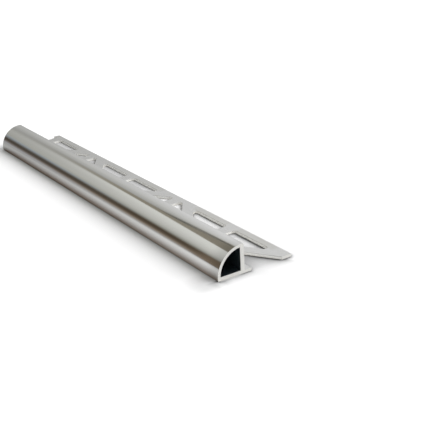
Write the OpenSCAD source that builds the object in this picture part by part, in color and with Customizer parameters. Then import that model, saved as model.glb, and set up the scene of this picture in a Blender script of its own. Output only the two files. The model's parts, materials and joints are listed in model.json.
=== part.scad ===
// Closed quadrant tile edge trim: one extruded, bright anodised aluminium profile.
// A hollow quarter-round covers the tile's edge, its straight back is the tile stop,
// and a punched leg beside it lies in the adhesive under the tile.
// X runs along the profile, Y across it from the tile stop towards the leg's outer edge,
// and Z is up from the underside. The origin is at mid-length, under the tile stop.

/* [Quadrant] */
// Height of the quadrant, equal to the tile's thickness
quadrant_h = 10; // [8:0.5:15]
// Straight run at each end of the curve, at the crest and at the toe
land_w = 0.9; // [0.6:0.1:1.5]
// Thickness of the curved wall
face_t = 1; // [0.8:0.1:1.5]
// Thickness of the floor under the chamber
floor_t = 1.25; // [0.9:0.05:1.8]
// Thickness of the upright back, the tile stop
back_t = 1.5; // [1:0.1:2]
// Radius on the quadrant's two outer corners, at the crest and at the toe
corner_r = 0.4; // [0.2:0.1:0.6]

/* [Anchoring leg] */
// Reach of the leg beyond the tile stop
leg_reach = 18.2; // [15:0.1:26]
// Thickness of the leg
leg_t = 1; // [0.7:0.1:1.3]

/* [Punched windows] */
// Plain strip of the leg left beside the tile stop
root_strip_w = 2.6; // [2:0.1:4]
// Plain strip of the leg left along its outer edge
outer_strip_w = 2.8; // [2:0.1:4]
// Distance between the centres of two neighbouring posts
post_pitch = 35; // [30:1:45]
// Width of a post, the straight bar across the leg
post_w = 4.8; // [3:0.1:8]
// Width of a brace, the slanting bar between two posts
brace_w = 4.1; // [3:0.1:6]
// Width of a window at its narrow end
window_tip_w = 1.6; // [1:0.1:3]
// Radius in a window's corners, unless the narrow end leaves less room
window_r = 1; // [0.3:0.1:1.2]

/* [Cut piece] */
// Length of the piece as sawn off the bar
cut_length = 175; // [90:1:300]
// Distance from the sawn end at +X to the centre of the first whole post
first_post = 29.5; // [8:0.5:30]

/* [Hidden] */

// Amount by which a cutting shape passes the faces that it cuts
overcut = 1;
// Sides of a full circle
$fn = 96;
polished_silver = [0.80, 0.80, 0.78];

// The curved wall's two faces share one centre, a land's length in from the tile stop and the underside
curve_r = quadrant_h - land_w;
chamber_r = curve_r - face_t;

// Window band: its two edges, measured from the tile stop, and its half depth
band_inner = root_strip_w;
band_outer = leg_reach - outer_strip_w;
band_mid = (band_inner + band_outer) / 2;
band_half = (band_outer - band_inner) / 2;

// Bay: the stretch between two posts, which one brace parts into two windows.
// The brace's slope follows from the bay's size, the brace's width and the windows' narrow ends.
bay_half = (post_pitch - post_w) / 2;
brace_run = bay_half - window_tip_w;
brace_slope = atan2(band_half, brace_run) + asin(brace_w / (2 * norm([brace_run, band_half])));
brace_half_x = brace_w / (2 * sin(brace_slope));
brace_lean_x = band_half / tan(brace_slope);
corner_fit_r = min(window_r, 0.65 * window_tip_w);

// The bay that the sawn end at +X cuts through is number 0
first_bay_x = cut_length / 2 - first_post + post_pitch / 2;
last_bay = ceil((cut_length - first_post) / post_pitch);

// Quarter disc of radius r in the quadrant with negative x and positive y
module quarter_disc(r) {
    intersection() {
        circle(r = r);
        translate([-r, 0]) square(r);
    }
}

// What a round of radius r takes off a square corner at the origin that fills negative x and y
module corner_ear(r) {
    difference() {
        translate([-r, -r]) square(2 * r);
        translate([-r, -r]) circle(r = r);
        translate([-3 * r, -2 * r]) square([2 * r, 4 * r]);
        translate([-2 * r, -3 * r]) square([4 * r, 2 * r]);
    }
}

// Section of the quadrant, solid: x is across the profile and y is up
module quadrant_outline() {
    difference() {
        union() {
            translate([-land_w, land_w]) quarter_disc(curve_r);
            translate([-quadrant_h, 0]) square([quadrant_h, land_w]);
            translate([-land_w, 0]) square([land_w, quadrant_h]);
        }
        translate([0, quadrant_h]) corner_ear(corner_r);
        translate([-quadrant_h, 0]) rotate(180) corner_ear(corner_r);
    }
}

// Section of the chamber: the disc inside the curved wall, above the floor and in front of the back
module chamber_outline() {
    intersection() {
        translate([-land_w, land_w]) circle(r = chamber_r);
        translate([-quadrant_h, floor_t]) square([quadrant_h - back_t, quadrant_h]);
    }
}

// Whole section as it leaves the die, before the leg is punched
module profile_section() {
    difference() {
        union() {
            quadrant_outline();
            translate([-back_t, 0]) square([back_t + leg_reach, leg_t]);
        }
        chamber_outline();
    }
}

// Unit vector from point a towards point b
function towards(a, b) = (b - a) / norm(b - a);

// Half of the angle inside the corner at point p, between its neighbours a and b
function half_corner(a, p, b) = acos(towards(p, a) * towards(p, b)) / 2;

// Polygon through the points, with every corner rounded to radius r
module rounded_polygon(points, r) {
    n = len(points);
    difference() {
        polygon(points);
        for (i = [0 : n - 1]) {
            before = points[(i + n - 1) % n];
            corner = points[i];
            after = points[(i + 1) % n];
            half = half_corner(before, corner, after);
            to_before = towards(corner, before);
            to_after = towards(corner, after);
            middle = corner + (to_before + to_after) / norm(to_before + to_after) * r / sin(half);
            tangent = r / tan(half);
            difference() {
                polygon([corner, corner + to_after * tangent, middle, corner + to_before * tangent]);
                translate(middle) circle(r = r);
            }
        }
    }
}

// Window with its long side on the tile stop's side, about the centre of its bay
module bay_window() {
    rounded_polygon(
        [
            [brace_half_x - brace_lean_x, -band_half],
            [bay_half, -band_half],
            [bay_half, band_half],
            [brace_half_x + brace_lean_x, band_half]
        ],
        corner_fit_r
    );
}

// Both windows of a bay: the second is the first one turned half round
module bay_windows() {
    bay_window();
    rotate(180) bay_window();
}

// All the windows in the leg: neighbouring bays are mirror images of each other across their post
module leg_windows() {
    for (bay = [0 : last_bay])
        translate([first_bay_x - bay * post_pitch, band_mid])
            mirror([bay % 2, 0])
                bay_windows();
}

module trim_profile() {
    color(polished_silver)
        difference() {
            translate([-cut_length / 2, 0, 0])
                rotate([90, 0, 90])
                    linear_extrude(cut_length) profile_section();
            translate([0, 0, -overcut])
                linear_extrude(leg_t + 2 * overcut) leg_windows();
        }
}

trim_profile();
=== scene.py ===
"""Tile edge trim: the finished look of the extruded profile, its studio and its camera."""

import json
import math

import bmesh
import bpy
from mathutils import Matrix, Vector
from mathutils.geometry import tessellate_polygon

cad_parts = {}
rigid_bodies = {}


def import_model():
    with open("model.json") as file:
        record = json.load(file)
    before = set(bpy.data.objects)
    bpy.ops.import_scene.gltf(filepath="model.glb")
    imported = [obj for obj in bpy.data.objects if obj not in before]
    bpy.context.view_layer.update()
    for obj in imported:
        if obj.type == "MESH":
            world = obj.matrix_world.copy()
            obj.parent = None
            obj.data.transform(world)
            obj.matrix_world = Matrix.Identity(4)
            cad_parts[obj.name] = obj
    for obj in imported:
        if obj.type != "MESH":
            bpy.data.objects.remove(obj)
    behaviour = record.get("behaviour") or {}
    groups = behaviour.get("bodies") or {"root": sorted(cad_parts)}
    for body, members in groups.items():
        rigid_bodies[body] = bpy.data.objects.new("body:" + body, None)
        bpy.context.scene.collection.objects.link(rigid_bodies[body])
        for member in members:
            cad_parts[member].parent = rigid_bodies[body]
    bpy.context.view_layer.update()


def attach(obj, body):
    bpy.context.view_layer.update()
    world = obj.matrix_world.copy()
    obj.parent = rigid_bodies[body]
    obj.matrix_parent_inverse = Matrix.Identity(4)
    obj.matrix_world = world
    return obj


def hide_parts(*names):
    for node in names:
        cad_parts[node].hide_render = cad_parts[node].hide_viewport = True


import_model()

# Sizes in millimetres, the same as the solid's
HEIGHT = 10.0
LAND = 0.9
FACE_T = 1.0
FLOOR_T = 1.25
BACK_T = 1.5
CORNER_R = 0.4
REACH = 18.2
LEG_T = 1.0
ROOT_STRIP = 2.6
OUTER_STRIP = 2.8
PITCH = 35.0
POST = 4.8
BRACE = 4.1
TIP = 1.6
WINDOW_R = 1.0
LENGTH = 175.0
FIRST_POST = 29.5
MM_IN_METRE = 1000

# Straight steps of an arc: on a corner, on the curved face and in the chamber
CORNER_STEPS = 8
CURVE_STEPS = 80
CHAMBER_STEPS = 48
# Amount by which a window's cutter passes the leg
CUTTER_PAST = 1.0
# Softened edges, and the wider roll-over that the punch leaves on the windows' upper edges
EDGE_SOFT = 0.07
ROLLOVER = 0.2
SOFT_SEGMENTS = 3
SHARP = math.radians(32)
FLAT = math.radians(0.2)
# Slack for telling edges and faces apart, and shares of a normal that count as facing an axis
RIM_SLACK = 0.01
HOLLOW_SLACK = 0.03
LEG_SLACK = 0.05
FACING = 0.5
FACING_END = 0.6
# Finishes of a face, in the order of the material slots
POLISHED, SATIN, PUNCHED, SAWN, HOLLOW = range(5)

# Camera, fitted to the photograph in units of the quadrant's height, from the near end of the tile stop
CAM_F_PX = 849.734
CAM_AZ = 57.109
CAM_EL = 21.97
CAM_ROLL = -3.118
CAM_SHIFT = (-1.009, 1.860)
CAM_DIST = 26.012
CAM_CLIP = 0.01
FRAME_PX = 424.0
SENSOR = 36.0

# Studio around the bar, as the metal shows it; bearings are degrees from the bar's axis, towards the
# quadrant's side when positive. Quadrant's side: (elevation in degrees, linear colour)
FRONT_LIGHT = [
    (0.0, (0.38, 0.35, 0.32)),
    (1.3, (0.33, 0.30, 0.27)),
    (3.5, (0.225, 0.185, 0.145)),
    (5.5, (0.135, 0.106, 0.078)),
    (7.5, (0.088, 0.067, 0.047)),
    (9.5, (0.074, 0.056, 0.039)),
    (11.0, (0.079, 0.062, 0.043)),
    (12.3, (0.100, 0.081, 0.058)),
    (13.9, (0.150, 0.134, 0.106)),
    (15.0, (0.21, 0.205, 0.18)),
    (16.3, (0.28, 0.275, 0.25)),
    (18.0, (0.37, 0.37, 0.335)),
    (22.0, (0.475, 0.475, 0.44)),
    (25.5, (0.55, 0.55, 0.52)),
    (28.6, (0.60, 0.60, 0.57)),
    (32.0, (0.655, 0.66, 0.625)),
    (37.0, (0.71, 0.715, 0.68)),
    (90.0, (0.74, 0.74, 0.72)),
]
# Far round on the quadrant's side, where the room is dark: (elevation, linear colour)
DARK_FRONT = [
    (0.0, (0.20, 0.185, 0.165)),
    (8.0, (0.07, 0.06, 0.05)),
    (20.0, (0.13, 0.125, 0.115)),
    (35.0, (0.24, 0.235, 0.225)),
    (55.0, (0.42, 0.42, 0.41)),
    (90.0, (0.74, 0.74, 0.73)),
]
DARK_BEARING = (43, 60)
# FRONT_LIGHT is lifted by some degrees that grow with the bearing, less so high up and low down
LIFT = (20, 38, -1.7, 2.2)
LIFT_HIGH = (20, 28)
LIFT_LOW = (4, 10, 0.1, 1.0)
# The low band turns greyer towards the bar's axis, and it has a slanting brown patch far round
GREYER = (0.98, 1.08, 1.28)
GREY_BEARING = (24, 34)
GREY_RISE = (15, 19)
BROWN_PATCH = (0.178, 0.138, 0.098, 1.0)
PATCH_SLANT = (6, 18, 0.0, 2.0)
PATCH_BEARING = (38.2, 39.8)
PATCH_RISE = (16, 19, 0.9, 0)
# Share of FRONT_LIGHT left low down, by bearing, and the elevations over which the loss ends
FRONT_DIM = [
    (0, 0.66), (2.5, 0.69), (6, 0.77), (10, 0.785), (15, 0.83), (20, 0.925), (28, 1.0), (90, 1.0),
]
DIM_RISE = (22, 36)
# Leg's side: (bearing away from the quadrant's side, linear colour)
BACK_LIGHT = [
    (0.0, (0.34, 0.34, 0.325)),
    (5.0, (0.36, 0.36, 0.35)),
    (9.0, (0.395, 0.395, 0.38)),
    (11.3, (0.43, 0.43, 0.415)),
    (15.7, (0.48, 0.48, 0.465)),
    (18.5, (0.54, 0.54, 0.525)),
    (21.4, (0.57, 0.57, 0.56)),
    (26.0, (0.625, 0.625, 0.62)),
    (30.0, (0.69, 0.69, 0.69)),
    (33.0, (0.74, 0.74, 0.74)),
    (90.0, (0.76, 0.76, 0.76)),
]
# Shares of BACK_LIGHT by elevation, and how much brighter it is past the near end
BACK_RISE = (14, 38, 0.895, 1.09)
BACK_LOW = (15.5, 19, 0.87, 1.0)
NEAR_PANEL = (0.1, 0.5, 1.0, 1.2)
# Bearings over which the leg's side passes into the quadrant's side
SIDES_MEET = (-8, 4)
# Dark gap between the two sides: (elevation, bearing) of its borders, (elevation, depth), its colour,
# by elevation the colour's share and the borders' softness, and the scale of the borders' curves
GAP_BACK = [
    (0, -10), (27, -10), (29.2, -8), (30.6, -7), (31.9, -6.4), (33, -5.6), (34.3, -5.4), (35.6, -5.6),
    (36.1, -8), (36.5, -10.2), (36.8, -12.7), (37.1, -14.7), (37.3, -17.8), (38.5, -30), (90, -30),
]
GAP_FRONT = [
    (0, 0), (28, 0), (29.6, 0.3), (31, 1.2), (32.1, 2), (33.4, 3), (34.5, 4), (35.3, 5.5), (36, 6.5),
    (36.5, 8), (37.5, 9.1), (38, 10.2), (39, 11.8), (42, 15), (90, 30),
]
GAP_DEPTH = [(0, 0), (24, 0), (28, 0.3), (29.5, 0.6), (31.5, 0.85), (33, 1), (45, 1), (70, 0), (90, 0)]
GAP_COLOUR = (0.26, 0.238, 0.19)
GAP_TOP = (38.6, 39.6, 1.0, 0.9)
GAP_SOFT = (29, 35, 3.0, 1.1)
GAP_SCALE = 40.0
# Dark line along the gap's upper border: (bearing away from the quadrant's side, elevation),
# half its width, the bearings between which it runs, and its colour
LINE_RISE = [
    (0, 36.2), (2, 36.4), (5.3, 37.1), (8.7, 37.65), (10.5, 38.1), (12.4, 38.5), (16, 39.1), (90, 39.1),
]
LINE_HALF = 1.15
LINE_STARTS = (0.5, 4)
LINE_ENDS = (13.5, 17)
LINE_COLOUR = (0.030, 0.044, 0.056, 1.0)
RIGHT_ANGLE = 90.0
DEGREES = 180 / math.pi

# Polished face, and how far painted shade darkens it close to the near cut, over how many millimetres.
# The crest, above CREST_FROM, is darkened less
POLISHED_TONE = (0.86, 0.86, 0.85)
CUT_SHADE = 0.74
CUT_REACH = 8.0
CREST_FROM = 9.2
CREST_SHADE = 0.9
# Satin leg, and its painted shade beside a window, where the punch has drawn the strip, less so in the
# far half.
# Distances in millimetres: from a post to the shaded stretch's start and end, and along the bar
SATIN_TONE = (0.80, 0.80, 0.79, 1.0)
SATIN_SHADED = (0.735, 0.73, 0.70, 1.0)
SHADED_FROM = (POST / 2, POST / 2 + 1.5)
SHADED_TO = (22, 24.5)
SHADED_ALONG = (-30, 20, 0.25, 1.0)
SHADED_EDGE = 0.3
SHADED_PATCHES = (0.7, 1.0)
# Sheared walls of the windows: brightest and dullest streak, and heights where they turn smooth
PUNCHED_TONES = ((0.95, 0.95, 0.93, 1.0), (0.90, 0.90, 0.88, 1.0))
BURNISHED = (0.45 * LEG_T, 0.6 * LEG_T)
SAWN_TONE = (0.73, 0.725, 0.705, 1.0)
# Dark tone of the hollow: painted shade deep in the recess
HOLLOW_SHADE_TONE = (0.19, 0.245, 0.28, 1.0)
# Share of metal in the fresh cuts, which also scatter light
CUT_METALLIC = 0.6
# Plain roughness of each finish, for what reads no node tree
POLISHED_PLAIN = 0.1
SATIN_PLAIN = 0.25
PUNCHED_PLAIN = 0.7
SAWN_PLAIN = 0.55
HOLLOW_PLAIN = 0.45
# Roughness of each finish, from its smoothest to its roughest place
POLISHED_ROUGH = (0.06, 0.12)
SATIN_ROUGH = (0.18, 0.28)
PUNCHED_ROUGH = (0.58, 0.72)
BURNISHED_ROUGH = 0.42
SAWN_ROUGH = (0.45, 0.65)
HOLLOW_ROUGH = (0.38, 0.52)
# Grain of each finish: waves in a millimetre along X, Y and Z, and the noise's detail and roughness
POLISHED_LINES = ((0.02, 2.0, 2.0), 3.0, 0.5)
POLISHED_PATCHES = ((0.05, 0.3, 0.3), 2.0, 0.5)
SATIN_LINES = ((0.03, 3.0, 3.0), 4.0, 0.6)
SATIN_PATCHES = ((0.2, 0.5, 0.5), 3.0, 0.5)
PUNCHED_STREAKS = ((1.0, 1.0, 0.1), 3.0, 0.5)
SAW_MARKS = ((1.0, 1.2, 6.0), 4.0, 0.65)
HOLLOW_LINES = ((0.03, 2.0, 2.0), 3.0, 0.5)
MILLIMETRES = (1.0, 1.0, 1.0)
# Range of a noise, of its middle and of the sum of two
NOISE = (0.3, 0.7)
NOISE_MIDDLE = (0.35, 0.65)
NOISE_SUM = (0.6, 1.4)
# Relief of each grain: depth in metres and strength
POLISHED_RELIEF = (0.000002, 0.5)
SATIN_RELIEF = (0.00001, 0.6)
PUNCHED_RELIEF = (0.000004, 0.15)
SAWN_RELIEF = (0.00004, 0.5)

# Lamp, angles in degrees
KEY_STRENGTH = 3.0
KEY_SPREAD = 44.0
KEY_ELEVATION = 36.0
KEY_TURN = 42.0

# Floor: its size and drop in metres, its levels in the metal and for other light than the camera's
FLOOR_SIZE = 60
FLOOR_DROP = 0.00002
FLOOR_IN_METAL = 0.66
FLOOR_BOUNCE = 0.9
FLOOR_TINT = (1.0, 1.0, 1.015, 1.0)
WHITE = (1.0, 1.0, 1.0, 1.0)
# Places on the floor are in metres, along the bar (X) and across it (Y). The near end is at X 0.0875,
# the toe at Y -0.010, the tile stop at Y 0 and the leg's outer edge at Y 0.0182.
# Ranges over which the floor passes the near end, and passes from the quadrant to the leg
PAST_END = (0.0865, 0.0885)
TO_LEG = (-0.004, 0.0)
# Level in the metal along the bar, by the leg, and past the near end
METAL_ALONG = (-0.14, 0.06, 0.48, 1.0)
METAL_BY_LEG = (1.0, 1.2)
METAL_PAST_END = (-0.008, 0.0, 1.25, 1.0)
# Contact shade: reach of the occlusion, and its powers in front, under the windows and past the end.
# A list of steps has (from, to, power beyond)
SHADE_SAMPLES = 16
SHADE_REACH = 0.020
SHADE_FRONT = 0.58
SHADE_FAR_WINDOWS = 0.4
SHADE_WINDOWS = [(0.020, 0.045, 2.5), (0.065, 0.085, 2.4)]
SHADE_PAST = (0.086, 0.0885)
SHADE_PAST_END = (-0.002, 0.006, 0.2, 1.8)
# Contact shade in the metal: from the far end to the near end, by the leg, and its share past the end
METAL_SHADE = (-0.02, 0.05, 1.25, 0.95)
METAL_SHADE_BY_LEG = 0.4
METAL_SHADE_PAST_END = 0.15
SHADE_TINT = (1.2, 0.88, 0.69, 1.0)
SHADE_TINTED = (0.35, 0.95)
# Tight shade at the near end: reach of the occlusion, where it starts along the bar, by steps across it,
# and over which length it comes in
TIGHT_REACH = 0.0045
TIGHT_START = 0.0858
TIGHT_STARTS = [
    (-0.010, -0.009, 0.0868),
    (-0.002, 0.003, 0.077),
    (0.009, 0.012, 0.060),
    (0.0160, 0.0178, 0.0840),
]
TIGHT_FADE = (-0.002, 0.003, 0.0015, 0.0045)
# Powers of the tight shade: at the toe, past the quadrant, in the nearest window and notch, at the tip
TIGHT_TOE = 3.5
TIGHT_PAST_TOE = (-0.010, -0.006, 1.75)
TIGHT_STRIP = (0.0, 0.008)
TIGHT_NOTCH = (0.076, 0.082, 2.5, 3.2)
TIGHT_TIP = 1.2
TIP_X = (0.0855, 0.0875)
TIP_Y = (0.0145, 0.0180)
# Least open share of the sky that the tight shade counts with by the leg
TIGHT_LEAST = (0.0, 0.006, 0.0, 0.76)
# Floor under the leg, with painted shade where the far windows look dull
UNDER_LEG = ((0.0, 0.002), (0.016, 0.018))
FAR_END = (-0.0885, -0.0865)
FAR_WINDOW_SHADE = (-0.005, 0.03, 0.55, 1.0)
# Shadow in front of the near corner
CORNER_X = ((0.078, 0.0865), (0.0885, 0.0935))
CORNER_Y = ((-0.0225, -0.0145), (-0.0120, -0.0100))
CORNER_DEPTH = 0.25
# Slanting edge of the near notch: where it starts, its slope, the distances from it over which its shade
# comes in and fades, the share of white left there, and where the shade lies
NOTCH_EDGE = (0.06948, 0.0026)
NOTCH_SLOPE = math.radians(33.25)
NOTCH_COMES = (-0.0015, 0.0)
NOTCH_FADES = (0.001, 0.010, 0.69, 1.0)
NOTCH_X = (0.0865, 0.0935)
NOTCH_Y = (0.003, 0.006)


def arc(cx, cz, r, start, end, steps):
    """Points of an arc about (cx, cz), angles in degrees."""
    points = []
    for i in range(steps + 1):
        a = math.radians(start + (end - start) * i / steps)
        points.append((cx + r * math.cos(a), cz + r * math.sin(a)))
    return points


def section_outline():
    """Outer outline of the section, as (y, z)."""
    points = [(REACH, 0.0), (REACH, LEG_T), (0.0, LEG_T)]
    points += arc(-CORNER_R, HEIGHT - CORNER_R, CORNER_R, 0, 90, CORNER_STEPS)
    points += arc(-LAND, LAND, HEIGHT - LAND, 90, 180, CURVE_STEPS)
    points += arc(-HEIGHT + CORNER_R, CORNER_R, CORNER_R, 180, 270, CORNER_STEPS)
    return points


def chamber_outline():
    """Outline of the hollow, as (y, z)."""
    r = HEIGHT - LAND - FACE_T
    top = math.degrees(math.acos((LAND - BACK_T) / r))
    low = 180 - math.degrees(math.asin((FLOOR_T - LAND) / r))
    return [(-BACK_T, FLOOR_T)] + arc(-LAND, LAND, r, top, low, CHAMBER_STEPS)


def rounded(points, r):
    """Closed polygon with every corner rounded to radius r."""
    out = []
    count = len(points)
    for i in range(count):
        p = Vector(points[i])
        a = (Vector(points[i - 1]) - p).normalized()
        b = (Vector(points[(i + 1) % count]) - p).normalized()
        half = a.angle(b) / 2
        middle = p + (a + b).normalized() * (r / math.sin(half))
        first = p + a * (r / math.tan(half)) - middle
        turn = first.angle_signed(p + b * (r / math.tan(half)) - middle)
        for k in range(CORNER_STEPS + 1):
            out.append(tuple(middle + Matrix.Rotation(-turn * k / CORNER_STEPS, 2) @ first))
    return out


def window_outlines():
    """Outlines of all the windows in the leg, as (x, y)."""
    inner = ROOT_STRIP
    outer = REACH - OUTER_STRIP
    mid = (inner + outer) / 2
    half = (outer - inner) / 2
    bay = (PITCH - POST) / 2
    run = bay - TIP
    slope = math.atan2(half, run) + math.asin(BRACE / (2 * math.hypot(run, half)))
    brace_x = BRACE / (2 * math.sin(slope))
    lean = half / math.tan(slope)
    corners = [(brace_x - lean, -half), (bay, -half), (bay, half), (brace_x + lean, half)]
    shape = rounded(corners, WINDOW_R)
    first = LENGTH / 2 - FIRST_POST + PITCH / 2
    outlines = []
    for i in range(math.ceil((LENGTH - FIRST_POST) / PITCH) + 1):
        flip = -1 if i % 2 else 1
        for turn in (1, -1):
            outlines.append([(first - i * PITCH + flip * turn * x, mid + turn * y) for x, y in shape])
    return outlines


def prism(name, loops, low, high, place):
    """Closed prism between low and high over an outline and its holes; place makes a 3-D point."""
    bm = bmesh.new()
    ends = []
    for at in (low, high):
        ends.append([[bm.verts.new(place(u, v, at)) for u, v in loop] for loop in loops])
    for a, b in zip(*ends):
        for i in range(len(a)):
            j = (i + 1) % len(a)
            bm.faces.new((a[i], a[j], b[j], b[i]))
    flat = [[Vector((u, v, 0.0)) for u, v in loop] for loop in loops]
    tris = tessellate_polygon(flat)
    for end in ends:
        verts = [v for loop in end for v in loop]
        for tri in tris:
            bm.faces.new([verts[i] for i in tri])
    bmesh.ops.recalc_face_normals(bm, faces=bm.faces)
    mesh = bpy.data.meshes.new(name)
    bm.to_mesh(mesh)
    bm.free()
    obj = bpy.data.objects.new(name, mesh)
    bpy.context.scene.collection.objects.link(obj)
    return obj


def applied(obj):
    """The object's mesh with its modifiers applied."""
    graph = bpy.context.evaluated_depsgraph_get()
    return bpy.data.meshes.new_from_object(
        obj.evaluated_get(graph), preserve_all_data_layers=True, depsgraph=graph
    )


def join_flats(mesh):
    """Join the faces that lie in one plane, so that no sliver holds back the softening of edges."""
    bm = bmesh.new()
    bm.from_mesh(mesh)
    bmesh.ops.dissolve_limit(bm, angle_limit=FLAT, verts=bm.verts, edges=bm.edges)
    bm.to_mesh(mesh)
    bm.free()


def on_window_rim(edge):
    """Whether an edge, in millimetres, is on the upper rim of a window."""
    ends = [v.co for v in edge.verts]
    if any(abs(p.z - LEG_T) > RIM_SLACK for p in ends):
        return False
    if all(abs(p.x) > LENGTH / 2 - RIM_SLACK for p in ends):
        return False
    return all(ROOT_STRIP - RIM_SLACK < p.y < REACH - OUTER_STRIP + RIM_SLACK for p in ends)


def weigh_edges(mesh):
    """How far each edge is softened, as a share of the roll-over."""
    bm = bmesh.new()
    bm.from_mesh(mesh)
    weight = bm.edges.layers.float.new("bevel_weight_edge")
    for edge in bm.edges:
        if len(edge.link_faces) == 2 and edge.calc_face_angle() > SHARP:
            edge[weight] = 1.0 if on_window_rim(edge) else EDGE_SOFT / ROLLOVER
    bm.to_mesh(mesh)
    bm.free()


def cut_windows(bar):
    """Cut the windows through the bar's leg."""
    hold = bpy.data.collections.new("cutters")
    for loop in window_outlines():
        cutter = prism(
            "cutter", [loop], -CUTTER_PAST, LEG_T + CUTTER_PAST, lambda u, v, at: (u, v, at)
        )
        hold.objects.link(cutter)
    cut = bar.modifiers.new("windows", "BOOLEAN")
    cut.operation = "DIFFERENCE"
    cut.operand_type = "COLLECTION"
    cut.collection = hold
    cut.solver = "EXACT"
    bar.data = applied(bar)
    bar.modifiers.clear()
    for cutter in list(hold.objects):
        bpy.data.objects.remove(cutter)
    bpy.data.collections.remove(hold)


def softened(bar):
    """Mesh of the bar with its edges softened."""
    join_flats(bar.data)
    weigh_edges(bar.data)
    soft = bar.modifiers.new("edges", "BEVEL")
    soft.width = ROLLOVER
    soft.segments = SOFT_SEGMENTS
    soft.limit_method = "WEIGHT"
    soft.harden_normals = True
    mesh = applied(bar)
    bar.modifiers.clear()
    return mesh


def build_trim():
    """The profile with its windows cut and its edges softened, in metres."""
    bar = prism(
        "trim",
        [section_outline(), chamber_outline()],
        -LENGTH / 2,
        LENGTH / 2,
        lambda u, v, at: (at, u, v),
    )
    for poly in bar.data.polygons:
        poly.use_smooth = True
    cut_windows(bar)
    mesh = softened(bar)
    mesh.transform(Matrix.Scale(1 / MM_IN_METRE, 4))
    bar.data = mesh
    return bar


def finish_index(centre, normal):
    """Which finish a face has, by its centre in millimetres and its normal."""
    x, y, z = centre
    if abs(normal.x) > FACING_END and abs(x) > LENGTH / 2 - 2 * EDGE_SOFT:
        return SAWN
    r = HEIGHT - LAND - FACE_T + HOLLOW_SLACK
    off_walls = y < -BACK_T + HOLLOW_SLACK and z > FLOOR_T - HOLLOW_SLACK
    if off_walls and math.hypot(y + LAND, z - LAND) < r:
        return HOLLOW
    in_leg = LEG_SLACK < y < REACH - LEG_SLACK
    if in_leg and abs(normal.z) < FACING and z < LEG_T - ROLLOVER:
        return PUNCHED
    if y > -LEG_SLACK or normal.z < -FACING:
        return SATIN
    return POLISHED


def assign_finishes(obj, materials):
    """Give the object its materials, in the order of the finishes, and each face its own."""
    obj.data.materials.clear()
    for material in materials:
        obj.data.materials.append(material)
    for poly in obj.data.polygons:
        poly.material_index = finish_index(poly.center * MM_IN_METRE, poly.normal)


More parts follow.
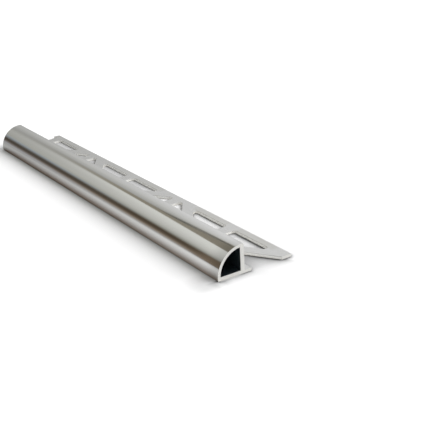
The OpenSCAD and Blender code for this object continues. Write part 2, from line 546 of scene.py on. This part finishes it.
class Nodes:
    """Short calls for building a node tree."""

    def __init__(self, tree):
        self.tree = tree

    def add(self, kind, **settings):
        node = self.tree.nodes.new(kind)
        for key, value in settings.items():
            setattr(node, key, value)
        return node

    def feed(self, socket, value):
        """Link another socket to the socket, or set its value."""
        if isinstance(value, bpy.types.NodeSocket):
            self.tree.links.new(value, socket)
        else:
            socket.default_value = value

    def math(self, operation, a, b=0.0):
        node = self.add("ShaderNodeMath", operation=operation)
        self.feed(node.inputs[0], a)
        self.feed(node.inputs[1], b)
        return node.outputs[0]

    def product(self, first, *others):
        for other in others:
            first = self.math("MULTIPLY", first, other)
        return first

    def span(self, value, low, high, to_low=0.0, to_high=1.0, smooth=True):
        """value from low..high mapped to to_low..to_high, held at the ends."""
        node = self.add("ShaderNodeMapRange")
        node.interpolation_type = "SMOOTHSTEP" if smooth else "LINEAR"
        for socket, item in zip(node.inputs, (value, low, high, to_low, to_high)):
            self.feed(socket, item)
        return node.outputs[0]

    def blend(self, share, a, b):
        """a where the share is 0, b where it is 1."""
        return self.span(share, 0.0, 1.0, a, b, False)

    def within(self, value, starts, ends):
        """1 between two ranges, over which it comes in and goes out."""
        return self.product(self.span(value, *starts), self.span(value, *ends, 1, 0))

    def steps(self, value, level, steps):
        """level, which changes over each step: (low, high, level beyond)."""
        for low, high, beyond in steps:
            level = self.span(value, low, high, level, beyond)
        return level

    def ramp(self, degrees, stops):
        """Colour by an angle of 0..90, from (degrees, colour) stops."""
        node = self.add("ShaderNodeValToRGB")
        points = node.color_ramp.elements
        while len(points) < len(stops):
            points.new(0.5)
        for point, (at, colour) in zip(points, stops):
            point.position = at / RIGHT_ANGLE
            point.color = (*colour, 1.0)
        self.feed(node.inputs[0], self.math("DIVIDE", degrees, RIGHT_ANGLE))
        return node.outputs[0]

    def curve(self, degrees, points, scale):
        """Straight lines through (degrees, output) points; degrees in 0..90, output within scale."""
        node = self.add("ShaderNodeFloatCurve")
        line = node.mapping.curves[0]
        while len(line.points) < len(points):
            line.points.new(0.5, 0.5)
        for point, (at, out) in zip(line.points, points):
            point.location = (at / RIGHT_ANGLE, 0.5 + out / (2 * scale))
            point.handle_type = "VECTOR"
        node.mapping.update()
        self.feed(node.inputs[1], self.math("DIVIDE", degrees, RIGHT_ANGLE))
        centred = self.math("SUBTRACT", node.outputs[0], 0.5)
        return self.math("MULTIPLY", centred, 2 * scale)

    def scaled(self, colour, factor):
        node = self.add("ShaderNodeVectorMath", operation="SCALE")
        self.feed(node.inputs[0], colour)
        self.feed(node.inputs["Scale"], factor)
        return node.outputs[0]

    def tinted(self, colour, tint):
        node = self.add("ShaderNodeVectorMath", operation="MULTIPLY")
        self.feed(node.inputs[0], colour)
        self.feed(node.inputs[1], tint)
        return node.outputs[0]

    def mix(self, factor, a, b):
        node = self.add("ShaderNodeMix", data_type="RGBA")
        self.feed(node.inputs[0], factor)
        self.feed(node.inputs[6], a)
        self.feed(node.inputs[7], b)
        return node.outputs[2]

    def where(self, kind):
        """Coordinates of the place, or the direction, that is shaded."""
        return self.add("ShaderNodeTexCoord").outputs[kind]

    def axes(self, vector):
        """Outputs for the vector's X, Y and Z."""
        node = self.add("ShaderNodeSeparateXYZ")
        self.feed(node.inputs[0], vector)
        return node.outputs

    def stretched(self, scale):
        """Object coordinates in millimetres, stretched by scale."""
        node = self.add("ShaderNodeMapping")
        self.feed(node.inputs["Vector"], self.where("Object"))
        node.inputs["Scale"].default_value = [MM_IN_METRE * s for s in scale]
        return node.outputs[0]

    def noise(self, waves, detail, rough):
        """Noise with so many waves in a millimetre along X, Y and Z."""
        node = self.add("ShaderNodeTexNoise")
        self.feed(node.inputs["Vector"], self.stretched(waves))
        node.inputs["Scale"].default_value = 1.0
        node.inputs["Detail"].default_value = detail
        node.inputs["Roughness"].default_value = rough
        return node.outputs["Fac"]

    def occluded(self, reach):
        """Share of the sky left open by what stands within reach."""
        node = self.add("ShaderNodeAmbientOcclusion", samples=SHADE_SAMPLES)
        node.inputs["Distance"].default_value = reach
        return node.outputs["AO"]


def metal(name, tone, roughness, metallic=1.0):
    """A plain metal and the parts of its node tree."""
    material = bpy.data.materials.new(name)
    material.use_nodes = True
    nodes = Nodes(material.node_tree)
    shader = material.node_tree.nodes["Principled BSDF"]
    shader.inputs["Metallic"].default_value = metallic
    shader.inputs["Base Color"].default_value = tone
    shader.inputs["Roughness"].default_value = roughness
    return material, nodes, shader


def bump(nodes, shader, height, depth, strength):
    """Fine relief, its depth in metres."""
    node = nodes.add("ShaderNodeBump")
    node.inputs["Strength"].default_value = strength
    node.inputs["Distance"].default_value = depth
    nodes.feed(node.inputs["Height"], height)
    nodes.feed(shader.inputs["Normal"], node.outputs[0])


def painted_shade_by_cut(nodes):
    """Share of brightness left on the face: painted shade, darker close to the near cut, least so on the
    crest.
    """
    x, _, z = nodes.axes(nodes.stretched(MILLIMETRES))
    lowest = nodes.span(z, CREST_FROM, HEIGHT, CUT_SHADE, CREST_SHADE)
    return nodes.span(x, LENGTH / 2 - CUT_REACH, LENGTH / 2, 1.0, lowest)


def polished_metal():
    """Bright dipped and anodised face: nearly a mirror, with faint die lines along the bar."""
    material, nodes, shader = metal("polished_face", (*POLISHED_TONE, 1.0), POLISHED_PLAIN)
    lines = nodes.noise(*POLISHED_LINES)
    patches = nodes.noise(*POLISHED_PATCHES)
    both = nodes.math("ADD", lines, patches)
    nodes.feed(shader.inputs["Roughness"], nodes.span(both, *NOISE_SUM, *POLISHED_ROUGH))
    bump(nodes, shader, lines, *POLISHED_RELIEF)
    # The base colour carries painted shade, darker close to the near cut
    nodes.feed(shader.inputs["Base Color"], nodes.scaled(POLISHED_TONE, painted_shade_by_cut(nodes)))
    return material


def painted_strip_shade(nodes):
    """Share of painted shade on the strip along the leg's outer edge, beside each window, where the
    punch drew it.
    """
    x, y, _ = nodes.axes(nodes.stretched(MILLIMETRES))
    post = LENGTH / 2 - FIRST_POST
    from_post = nodes.math("PINGPONG", nodes.math("SUBTRACT", x, post), PITCH)
    beside = nodes.within(from_post, SHADED_FROM, SHADED_TO)
    strip = REACH - OUTER_STRIP
    across = nodes.span(y, strip - SHADED_EDGE, strip)
    return nodes.product(beside, nodes.span(x, *SHADED_ALONG), across)


def satin_metal():
    """Leg, back and underside: satin, with fine lines along the bar, and painted shade beside the
    windows.
    """
    material, nodes, shader = metal("satin_leg", SATIN_TONE, SATIN_PLAIN)
    lines = nodes.noise(*SATIN_LINES)
    patches = nodes.noise(*SATIN_PATCHES)
    both = nodes.math("ADD", lines, patches)
    nodes.feed(shader.inputs["Roughness"], nodes.span(both, *NOISE_SUM, *SATIN_ROUGH))
    bump(nodes, shader, lines, *SATIN_RELIEF)
    # Painted shade beside each window, in the base colour
    strip_shade = nodes.product(painted_strip_shade(nodes), nodes.span(patches, *NOISE, *SHADED_PATCHES))
    nodes.feed(shader.inputs["Base Color"], nodes.mix(strip_shade, SATIN_TONE, SATIN_SHADED))
    return material


def punched_metal():
    """Sheared walls of the windows: streaked in the punch's direction, smooth above and torn below."""
    material, nodes, shader = metal("punched_wall", PUNCHED_TONES[1], PUNCHED_PLAIN, CUT_METALLIC)
    streaks = nodes.noise(*PUNCHED_STREAKS)
    _, _, height = nodes.axes(nodes.stretched(MILLIMETRES))
    burnished = nodes.span(height, *BURNISHED)
    rough = nodes.span(streaks, *NOISE_MIDDLE, *PUNCHED_ROUGH)
    nodes.feed(shader.inputs["Roughness"], nodes.span(burnished, 0.0, 1.0, rough, BURNISHED_ROUGH))
    nodes.feed(shader.inputs["Base Color"], nodes.mix(nodes.span(streaks, *NOISE), *PUNCHED_TONES))
    bump(nodes, shader, streaks, *PUNCHED_RELIEF)
    return material


def sawn_metal():
    """Sawn ends: pale and matt, with fine saw marks."""
    material, nodes, shader = metal("sawn_end", SAWN_TONE, SAWN_PLAIN, CUT_METALLIC)
    marks = nodes.noise(*SAW_MARKS)
    nodes.feed(shader.inputs["Roughness"], nodes.span(marks, *NOISE, *SAWN_ROUGH))
    bump(nodes, shader, marks, *SAWN_RELIEF)
    return material


def hollow_metal():
    """Inside of the hollow: dull, with a dark tone that paints the shade deep in the recess."""
    material, nodes, shader = metal("hollow", HOLLOW_SHADE_TONE, HOLLOW_PLAIN)
    lines = nodes.noise(*HOLLOW_LINES)
    nodes.feed(shader.inputs["Roughness"], nodes.span(lines, *NOISE, *HOLLOW_ROUGH))
    return material


def camera_axes(az, el, roll):
    """Camera's right, up and back directions, in the part's axes."""
    a, e, r = math.radians(az), math.radians(el), math.radians(roll)
    back = Vector((math.sin(a) * math.cos(e), -math.cos(a) * math.cos(e), math.sin(e)))
    right = Vector((0, 0, 1)).cross(back).normalized()
    up = back.cross(right)
    c, s = math.cos(r), math.sin(r)
    return c * right + s * up, -s * right + c * up, back


def make_camera():
    """Camera that sees the part as the photograph shows it."""
    right, up, back = camera_axes(CAM_AZ, CAM_EL, CAM_ROLL)
    unit = HEIGHT / MM_IN_METRE
    at = right * CAM_SHIFT[0] + up * CAM_SHIFT[1] + back * CAM_DIST
    at = at * unit + Vector((LENGTH / 2 / MM_IN_METRE, 0, 0))
    data = bpy.data.cameras.new("camera")
    data.sensor_width = SENSOR
    data.lens = CAM_F_PX / FRAME_PX * SENSOR
    data.clip_start = CAM_CLIP
    cam = bpy.data.objects.new("camera", data)
    cam.matrix_world = Matrix.Translation(at) @ Matrix((right, up, back)).transposed().to_4x4()
    bpy.context.scene.collection.objects.link(cam)
    bpy.context.scene.camera = cam


def make_key_light():
    """Broad soft light from above, past the near end on the leg's side; the metal doesn't mirror it."""
    data = bpy.data.lights.new("key", "SUN")
    data.energy = KEY_STRENGTH
    data.angle = math.radians(KEY_SPREAD)
    key = bpy.data.objects.new("key", data)
    key.visible_glossy = False
    key.rotation_euler = (math.radians(KEY_ELEVATION - RIGHT_ANGLE), 0, math.radians(-KEY_TURN))
    bpy.context.scene.collection.objects.link(key)


def floor_in_metal(nodes, x, y):
    """Pale tone of the floor in the metal: painted shade dims it towards the bar's far end."""
    along = nodes.span(x, *METAL_ALONG, False)
    # Painted light lifts it by the leg and past the near end
    by_leg = nodes.span(y, *TO_LEG, *METAL_BY_LEG)
    near = nodes.span(x, *PAST_END, by_leg, nodes.span(y, *METAL_PAST_END))
    return nodes.product(along, near, FLOOR_IN_METAL)


def tight_shade(nodes, seen, x, y):
    """Close shade that the camera sees at the near end: past the quadrant, in the notch, by the leg."""
    in_strip = nodes.span(x, *TIGHT_NOTCH)
    depth = nodes.steps(y, TIGHT_TOE, [TIGHT_PAST_TOE, (*TIGHT_STRIP, in_strip)])
    past_tip = nodes.product(nodes.span(y, *TIP_Y), nodes.span(x, *TIP_X))
    depth = nodes.span(past_tip, 0.0, 1.0, depth, TIGHT_TIP)
    open_sky = nodes.math("MAXIMUM", nodes.occluded(TIGHT_REACH), nodes.span(y, *TIGHT_LEAST))
    past_start = nodes.math("SUBTRACT", x, nodes.steps(y, TIGHT_START, TIGHT_STARTS))
    by_end = nodes.span(past_start, 0.0, nodes.span(y, *TIGHT_FADE))
    return nodes.blend(nodes.product(by_end, seen), 1.0, nodes.math("POWER", open_sky, depth))


def seen_depth(nodes, x, y):
    """Power of the contact shade to the camera: deepest in the near windows and in the near notch."""
    windows = nodes.steps(x, SHADE_FAR_WINDOWS, SHADE_WINDOWS)
    depth = nodes.span(y, *TO_LEG, SHADE_FRONT, windows)
    return nodes.span(x, *SHADE_PAST, depth, nodes.span(y, *SHADE_PAST_END))


def metal_depth(nodes, x, y):
    """Power of the contact shade in the metal."""
    depth = nodes.span(y, *TO_LEG, nodes.span(x, *METAL_SHADE), METAL_SHADE_BY_LEG)
    return nodes.product(depth, nodes.span(x, *PAST_END, 1.0, METAL_SHADE_PAST_END))


def contact_shade(nodes, seen, x, y):
    """Share of light left on the floor where the bar stands close to it."""
    depth = nodes.blend(seen, metal_depth(nodes, x, y), seen_depth(nodes, x, y))
    near = nodes.math("POWER", nodes.occluded(SHADE_REACH), depth)
    return nodes.product(near, tight_shade(nodes, seen, x, y))


def shade_under_windows(nodes, x, y):
    """Share of white left on the floor under the windows: painted shade, darker in the bar's far half.
    """
    under = nodes.product(nodes.within(y, *UNDER_LEG), nodes.span(x, *FAR_END))
    # Painted shade on the floor under the far windows
    return nodes.blend(under, 1.0, nodes.span(x, *FAR_WINDOW_SHADE))


def before_corner(nodes, x, y):
    """Share of white left on the floor in front of the near corner, where the shadow runs on."""
    tail = nodes.product(nodes.within(x, *CORNER_X), nodes.within(y, *CORNER_Y))
    return nodes.math("SUBTRACT", 1.0, nodes.product(tail, CORNER_DEPTH))


def by_notch_edge(nodes, x, y):
    """Share of white left on the floor of the near notch, by the distance from its slanting edge."""
    along = nodes.product(nodes.math("SUBTRACT", x, NOTCH_EDGE[0]), math.sin(NOTCH_SLOPE))
    across = nodes.product(nodes.math("SUBTRACT", y, NOTCH_EDGE[1]), math.cos(NOTCH_SLOPE))
    away = nodes.math("SUBTRACT", along, across)
    left = nodes.span(away, *NOTCH_COMES, 1.0, nodes.span(away, *NOTCH_FADES))
    within = nodes.product(nodes.span(y, *NOTCH_Y), nodes.span(x, *NOTCH_X, 1, 0))
    return nodes.blend(within, 1.0, left)


def floor_colour(nodes):
    """Colour of the floor, by place and by the kind of ray that meets it."""
    x, y, _ = nodes.axes(nodes.where("Object"))
    path = nodes.add("ShaderNodeLightPath").outputs
    camera = path["Is Camera Ray"]
    in_metal = nodes.math("MAXIMUM", path["Is Glossy Ray"], path["Is Transmission Ray"])
    seen = nodes.product(
        shade_under_windows(nodes, x, y), before_corner(nodes, x, y), by_notch_edge(nodes, x, y)
    )
    level = nodes.blend(camera, FLOOR_BOUNCE, seen)
    level = nodes.blend(in_metal, level, floor_in_metal(nodes, x, y))
    shade = contact_shade(nodes, camera, x, y)
    warm = nodes.product(nodes.span(shade, *SHADE_TINTED, 1.0, 0.0), in_metal)
    tint = nodes.mix(camera, WHITE, FLOOR_TINT)
    tint = nodes.mix(warm, tint, SHADE_TINT)
    return nodes.scaled(tint, nodes.product(level, shade))


def make_floor():
    """Pale floor: white to the camera, a little darker in the metal, and it keeps the shadow."""
    bpy.ops.mesh.primitive_plane_add(size=FLOOR_SIZE, location=(0, 0, -FLOOR_DROP))
    floor = bpy.context.object
    floor.name = "floor"
    material = bpy.data.materials.new("floor")
    material.use_nodes = True
    nodes = Nodes(material.node_tree)
    shader = material.node_tree.nodes["Principled BSDF"]
    shader.inputs["Roughness"].default_value = 1.0
    shader.inputs["Specular IOR Level"].default_value = 0.0
    nodes.feed(shader.inputs["Base Color"], floor_colour(nodes))
    floor.data.materials.append(material)


def studio_direction(nodes):
    """Elevation and bearing of the direction looked along, in degrees, and its share along the bar."""
    x, y, z = nodes.axes(nodes.where("Generated"))
    bearing = nodes.math("ARCTAN2", nodes.math("MULTIPLY", y, -1.0), nodes.math("ABSOLUTE", x))
    rise = nodes.math("MULTIPLY", nodes.math("ARCSINE", z), DEGREES)
    return nodes.math("MAXIMUM", rise, 0.0), nodes.math("MULTIPLY", bearing, DEGREES), x


def front_side(nodes, rise, bearing):
    """Quadrant's side: a dark low band under a bright wall, and a dark room further round."""
    lift = nodes.product(
        nodes.span(bearing, *LIFT, False),
        nodes.span(rise, *LIFT_HIGH, 1, 0),
        nodes.span(rise, *LIFT_LOW, False),
    )
    light = nodes.ramp(nodes.math("SUBTRACT", rise, lift), FRONT_LIGHT)
    share = nodes.curve(nodes.math("MAXIMUM", bearing, 0.0), FRONT_DIM, 1.0)
    lost = nodes.product(nodes.math("SUBTRACT", 1.0, share), nodes.span(rise, *DIM_RISE, 1, 0))
    light = nodes.scaled(light, nodes.math("SUBTRACT", 1.0, lost))
    grey = nodes.product(nodes.span(bearing, *GREY_BEARING, 1, 0), nodes.span(rise, *GREY_RISE, 1, 0))
    light = nodes.mix(grey, light, nodes.tinted(light, GREYER))
    slant = nodes.math("ADD", bearing, nodes.span(rise, *PATCH_SLANT, False))
    patch = nodes.product(nodes.span(slant, *PATCH_BEARING), nodes.span(rise, *PATCH_RISE))
    light = nodes.mix(patch, light, BROWN_PATCH)
    return nodes.mix(nodes.span(bearing, *DARK_BEARING), light, nodes.ramp(rise, DARK_FRONT))


def back_side(nodes, rise, away, along):
    """Leg's side: a bright wall, dimmer towards the bar's axis and low down, brighter past the end."""
    light = nodes.ramp(away, BACK_LIGHT)
    light = nodes.scaled(light, nodes.span(rise, *BACK_RISE, False))
    light = nodes.scaled(light, nodes.span(rise, *BACK_LOW, False))
    return nodes.scaled(light, nodes.span(along, *NEAR_PANEL))


def gap_share(nodes, rise, bearing):
    """How far the direction lies in the dark gap between the two sides."""
    soft = nodes.span(rise, *GAP_SOFT)
    low = nodes.math("MULTIPLY", soft, -1.0)
    from_back = nodes.math("SUBTRACT", bearing, nodes.curve(rise, GAP_BACK, GAP_SCALE))
    from_front = nodes.math("SUBTRACT", nodes.curve(rise, GAP_FRONT, GAP_SCALE), bearing)
    inside = nodes.product(nodes.span(from_back, low, soft), nodes.span(from_front, low, soft))
    return nodes.product(inside, nodes.curve(rise, GAP_DEPTH, 1.0))


def gap_colour(nodes, rise, away):
    """Colour of the gap, with the dark line along its upper border."""
    line_rise = nodes.curve(away, LINE_RISE, RIGHT_ANGLE)
    from_line = nodes.math("ABSOLUTE", nodes.math("SUBTRACT", rise, line_rise))
    across = nodes.span(from_line, 0, LINE_HALF, 1, 0)
    line = nodes.product(across, nodes.within(away, LINE_STARTS, LINE_ENDS))
    shade = nodes.scaled(GAP_COLOUR, nodes.span(rise, *GAP_TOP))
    return nodes.mix(line, shade, LINE_COLOUR)


def studio_colour(nodes):
    """Colour of the studio in the direction looked along."""
    rise, bearing, along = studio_direction(nodes)
    away = nodes.math("MULTIPLY", bearing, -1.0)
    front = front_side(nodes, rise, bearing)
    back = back_side(nodes, rise, away, along)
    colour = nodes.mix(nodes.span(bearing, *SIDES_MEET), back, front)
    return nodes.mix(gap_share(nodes, rise, bearing), colour, gap_colour(nodes, rise, away))


def make_world():
    """Studio by direction, the same for light, for reflections and past the floor's edge."""
    world = bpy.data.worlds.new("studio")
    bpy.context.scene.world = world
    world.use_nodes = True
    nodes = Nodes(world.node_tree)
    colour = studio_colour(nodes)
    nodes.feed(world.node_tree.nodes["Background"].inputs["Color"], colour)


def main():
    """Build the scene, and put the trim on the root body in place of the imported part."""
    bpy.context.scene.view_settings.view_transform = "Standard"
    make_camera()
    make_key_light()
    make_world()
    make_floor()
    trim = build_trim()
    finishes = [polished_metal(), satin_metal(), punched_metal(), sawn_metal(), hollow_metal()]
    assign_finishes(trim, finishes)
    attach(trim, "root")
    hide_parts("trim_profile")


main()
